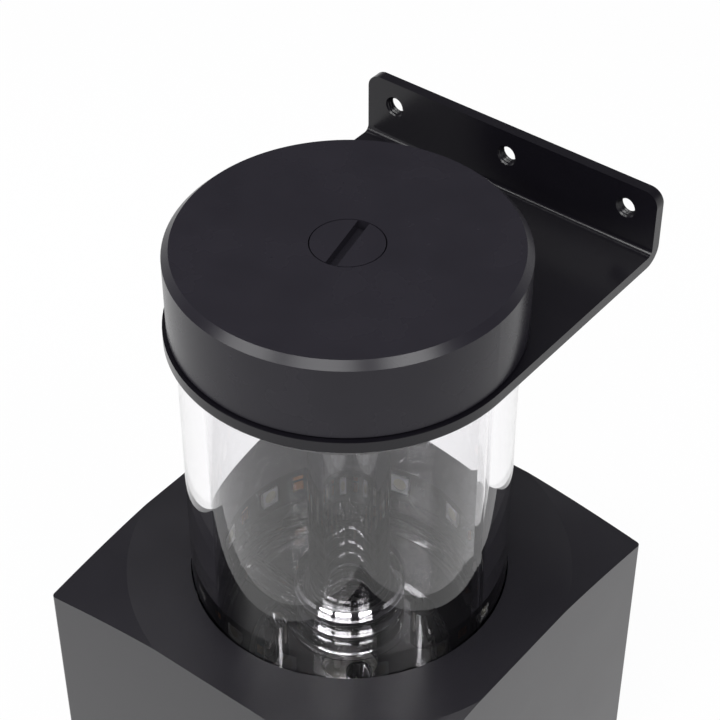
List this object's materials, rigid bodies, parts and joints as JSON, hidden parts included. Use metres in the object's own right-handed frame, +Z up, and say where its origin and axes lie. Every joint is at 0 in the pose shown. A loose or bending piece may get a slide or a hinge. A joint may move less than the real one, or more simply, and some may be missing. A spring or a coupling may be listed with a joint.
{
  "type": "coolant pump reservoir",
  "caption": "Glass-tube coolant reservoir standing on a square pump base, with a slotted filling plug in its cap and a folded mounting bracket.",
  "frame": {"origin": "on the axis of the glass tube, on the face that the rubber mat stands on", "axes": "+Z up along the tube, +Y towards the bracket's flange, -X through the inlet port"},
  "size_m": [0.094, 0.104, 0.1821],
  "materials": {
    "black_acetal": "satin black acetal, turned and milled, soft reflections",
    "black_sheet": "black powder-coated sheet, fine even grain",
    "seal_rubber": "black nitrile rubber",
    "mat_rubber": "soft black anti-vibration rubber",
    "clear_glass": "clear borosilicate tube with fire-polished walls",
    "clear_acrylic": "clear cast acrylic with turning marks",
    "strip_black": "black solder-masked flexible strip",
    "light_white": "white light package",
    "copper": "bare copper",
    "steel": "stainless steel",
    "pump_plastic": "moulded glass-filled plastic",
    "impeller_plastic": "moulded light grey plastic",
    "magnet": "sintered ferrite ring",
    "ball_ceramic": "polished ceramic",
    "board_green": "green solder-masked board",
    "dial_red": "red moulded dial"
  },
  "bodies": {
    "reservoir": {"top_cap": "black_acetal", "cap_gasket": "seal_rubber", "mounting_bracket": "black_sheet", "tube_stopper": "black_acetal", "stopper_seal": "seal_rubber", "glass_tube": "clear_glass", "tube_seal": "seal_rubber", "return_pipe": "clear_acrylic", "pipe_collar": "clear_acrylic", "collar_seals": "seal_rubber", "light_strip": "strip_black", "lights": "light_white", "copper_pads": "copper", "strip_resistors": "strip_black", "base_housing": "black_acetal", "reservoir_floor": "clear_acrylic", "floor_seal": "seal_rubber", "pump_top": "black_acetal", "block_screws": "steel", "inlet_bush": "black_acetal", "outlet_bush": "black_acetal", "bush_seals": "seal_rubber", "bearing_ball": "ball_ceramic", "bearing_post": "steel", "rotor_cup": "steel", "stator_core": "steel", "stator_coils": "copper", "motor_housing": "pump_plastic", "driver_board": "board_green", "pump_seal": "seal_rubber", "clamp_ring": "pump_plastic", "clamp_screws": "steel", "bottom_plate": "black_acetal", "bottom_screws": "steel", "rubber_mat": "mat_rubber", "cable_grommet": "seal_rubber"},
    "plug_rise": {"fill_plug_seal": "seal_rubber"},
    "plug_turn": {"fill_plug": "black_acetal"},
    "rotor_group": {"impeller": "impeller_plastic", "rotor": "pump_plastic", "rotor_magnet": "magnet"},
    "dial": {"speed_dial": "dial_red"}
  },
  "joints": [
    {"name": "fill_plug_rise", "type": "slide", "parent": "reservoir", "child": "plug_rise", "axis": [0, 0, 1], "range_m": [0, 0.00668]},
    {"name": "fill_plug_turn", "type": "hinge", "parent": "plug_rise", "child": "plug_turn", "pos_m": [0, 0, 0.1821], "axis": [0, 0, 1], "range_deg": [0, 1802]},
    {"name": "pump_rotor_spin", "type": "hinge", "parent": "reservoir", "child": "rotor_group", "pos_m": [0, 0, 0.03135], "axis": [0, 0, 1], "continuous": true},
    {"name": "speed_dial_turn", "type": "hinge", "parent": "reservoir", "child": "dial", "pos_m": [0, -0.018, 0.008], "axis": [0, 0, 1], "range_deg": [0, 270]}
  ],
  "couplings": [
    {"joint": "fill_plug_turn", "follows": "fill_plug_rise", "rad_per_m": 4699.5}
  ]
}
